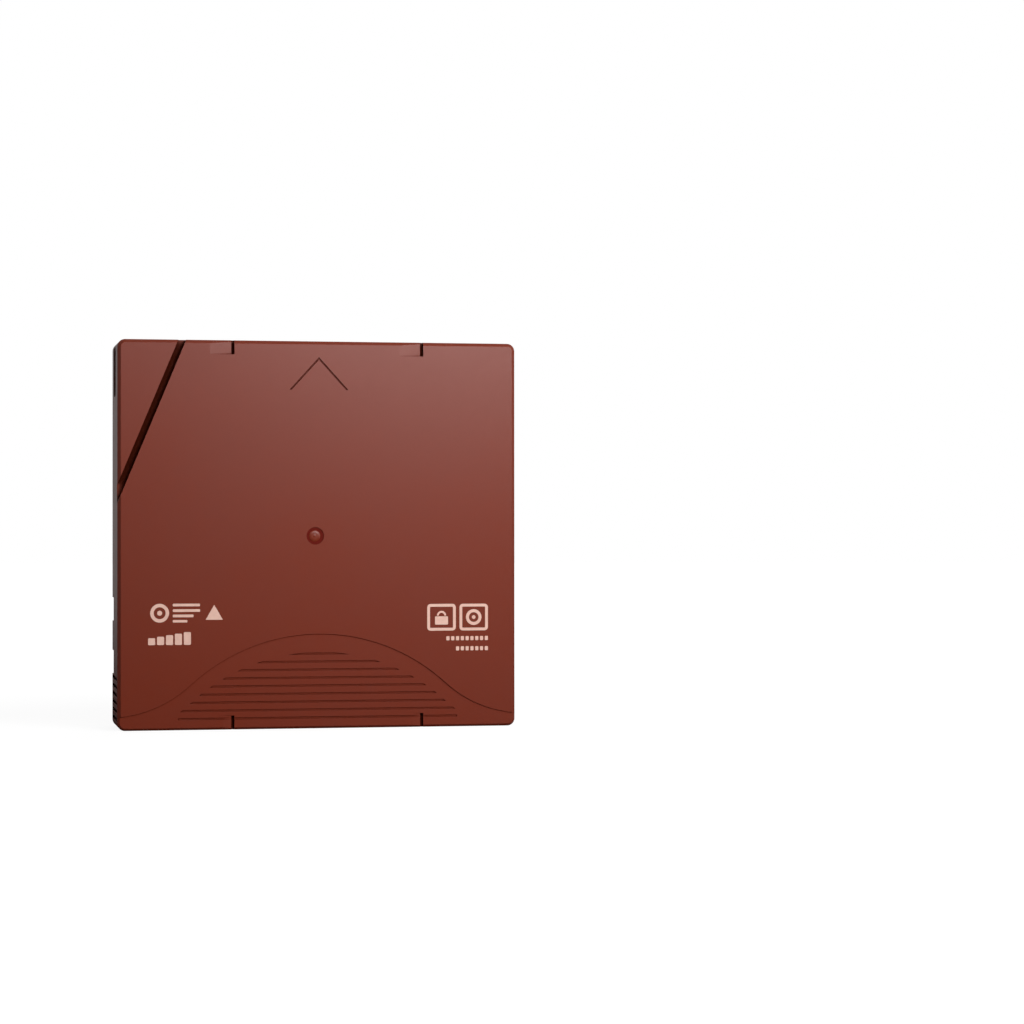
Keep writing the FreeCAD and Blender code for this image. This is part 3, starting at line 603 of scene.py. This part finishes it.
def camera():
    """The view: a long lens from slightly left of the case, at half its height."""
    data = bpy.data.cameras.new("camera")
    data.sensor_width = 36
    data.lens = 99.87
    data.clip_start = 0.01
    made = bpy.data.objects.new("camera", data)
    made.location = (-0.1003, -0.7541, 0.0516)
    made.rotation_euler = [math.radians(v) for v in (90.410, 0.040, -11.570)]
    bpy.context.scene.collection.objects.link(made)
    bpy.context.scene.camera = made


def lamp(name, place, aim, width, height, power):
    """A rectangular soft light that the camera doesn't see."""
    data = bpy.data.lights.new(name, "AREA")
    data.shape = "RECTANGLE"
    data.size = width
    data.size_y = height
    data.energy = power
    made = bpy.data.objects.new(name, data)
    made.location = place
    made.rotation_euler = (Vector(aim) - Vector(place)).to_track_quat("-Z", "Y").to_euler()
    made.visible_camera = False
    bpy.context.scene.collection.objects.link(made)


def lighting():
    """A far key light from the right, two near ones that put a sheen on the upper face, two behind."""
    case = (0, 0, 0.05)
    upper_face = (0.03, 0, 0.10)
    lamp("key", (1.10, -0.90, 0.50), case, width=1.10, height=1.10, power=7.7)
    lamp("sheen_right", (0.10, -0.25, 0.16), upper_face, width=0.14, height=0.08, power=0.34)
    lamp("sheen_left", (0.06, -0.30, 0.20), upper_face, width=0.24, height=0.10, power=0.63)
    lamp("back", (0.50, 1.00, 0.60), case, width=1.10, height=1.10, power=7.0)
    lamp("back_left", (-1.00, 0.60, 0.50), case, width=1.00, height=1.00, power=0.7)


def world():
    """Dark room in front of the case and a grey one behind it, that the camera sees as white.

    Reflections also find light walls and a light ceiling beside and above the case.
    """
    dark, grey = 0.02, 0.30
    wall, dimming = 0.60, 0.48              # what a reflection adds beside the case, and loses behind it
    finish = Finish(bpy.data.worlds.new("studio"))
    direction = finish.node("ShaderNodeTexCoord", out="Generated")
    depth = finish.node("ShaderNodeSeparateXYZ", None, {0: direction}, 1)
    seen = finish.node("ShaderNodeLightPath", out="Is Camera Ray")
    mirror = finish.node("ShaderNodeLightPath", out="Is Glossy Ray")
    behind = depth.clamped()
    walls = (depth + 1).clamped().math("POWER", 3.0)
    level = dark + behind * grey + mirror * walls * (wall - behind * dimming)
    bpy.context.scene.world = finish.surface(finish.node("ShaderNodeBackground", None, {
        "Color": colour(1, 1, 1),
        "Strength": level + (1 - level) * seen,
    }))


def table():
    """Table that looks white, with a faint shadow near the case, and sends little light back onto it."""
    shadow_end, shadow_fade = 0.10, 0.25    # distance up to which the shadow is full, and over which it goes
    near_white, far_white = 0.85, 0.15      # share of white that is seen near the case, and is added far off
    mirror_start, mirror_white = 0.15, 0.35
    paint_level, paint_seen, paint_mirrored = 0.25, 0.65, 0.20
    finish = new_finish("table_white")
    rays = finish.node("ShaderNodeLightPath", out="Is Camera Ray")
    mirror = finish.node("ShaderNodeLightPath", out="Is Glossy Ray")
    through = finish.node("ShaderNodeLightPath", out="Is Transmission Ray")
    place = finish.place()
    away = finish.node("ShaderNodeVectorMath", {"operation": "LENGTH"}, {0: place}, "Value")
    faded = ((away - shadow_end) / shadow_fade).clamped()
    far = (away - mirror_start).clamped()
    seen = ((rays + through) * (near_white + faded * far_white) + mirror * far * mirror_white).clamped()
    shade = paint_level + rays * paint_seen - mirror * paint_mirrored
    paint = finish.node("ShaderNodeBsdfDiffuse", None, {"Color": shade})
    white = finish.node("ShaderNodeEmission", None, {"Color": colour(1, 1, 1), "Strength": 1.08})
    finish.surface(finish.node("ShaderNodeMixShader", None, {0: seen, 1: paint, 2: white}))
    bm = bmesh.new()
    bmesh.ops.create_circle(bm, cap_ends=True, segments=96, radius=4.0)
    made = object_from(bm, "table", finish.owner)


# Put together

def dress():
    """Give each CAD node its finish, or a finer copy."""
    edge_round = 0.08 * MM
    burgundy = case_plastic()
    steel = turned_steel("turned_steel", colour(0.56, 0.56, 0.58), roughness=0.28)
    spring = turned_steel("spring_wire", colour(0.36, 0.36, 0.38), roughness=0.34)
    reel = moulded_plastic("reel_grey", colour(0.60, 0.59, 0.56), colour(0.55, 0.54, 0.51),
                           roughness=0.5, grain=0.3)
    brake = moulded_plastic("brake_white", colour(0.70, 0.69, 0.65), colour(0.64, 0.63, 0.59),
                            roughness=0.45, grain=0.3)
    charcoal = moulded_plastic("door_charcoal", colour(0.032, 0.032, 0.035), colour(0.022, 0.022, 0.024),
                               roughness=0.45, grain=0.4)
    red = moulded_plastic("slider_red", colour(0.55, 0.045, 0.02), colour(0.47, 0.035, 0.016),
                          roughness=0.42, grain=0.3)
    resin = moulded_plastic("chip_resin", colour(0.016, 0.016, 0.018), colour(0.022, 0.022, 0.024),
                            roughness=0.3, grain=0.2)
    film = tape_film()
    plain = {
        "reel_hub": reel, "reel_flange": reel, "clutch_plate": steel, "tape_pack": film,
        "brake_button": brake, "release_pad": brake, "leader_clip": brake, "leader_pin": steel,
        "tape_leader": film, "pin_spring_upper": spring, "pin_spring_lower": spring,
        "write_protect_slider": red, "memory_board": board_laminate(), "memory_chip": resin,
        "door": charcoal, "case_screws": steel,
    }
    for node, material in plain.items():
        shown = frame["nodes"][node]
        shown.data.materials.clear()
        shown.data.materials.append(material)
    clean_copy("top_shell", edge_round, "case", burgundy)
    clean_copy("bottom_shell", edge_round, "case", burgundy)
    face_marks(ink())
    gate_mark(burgundy, gate_shade_plastic())
    screws(steel)
    door_coil(spring)
    brake_coil(spring)


camera()
world()
table()
lighting()
dress()

scene = bpy.context.scene
scene.view_settings.view_transform = "Standard"
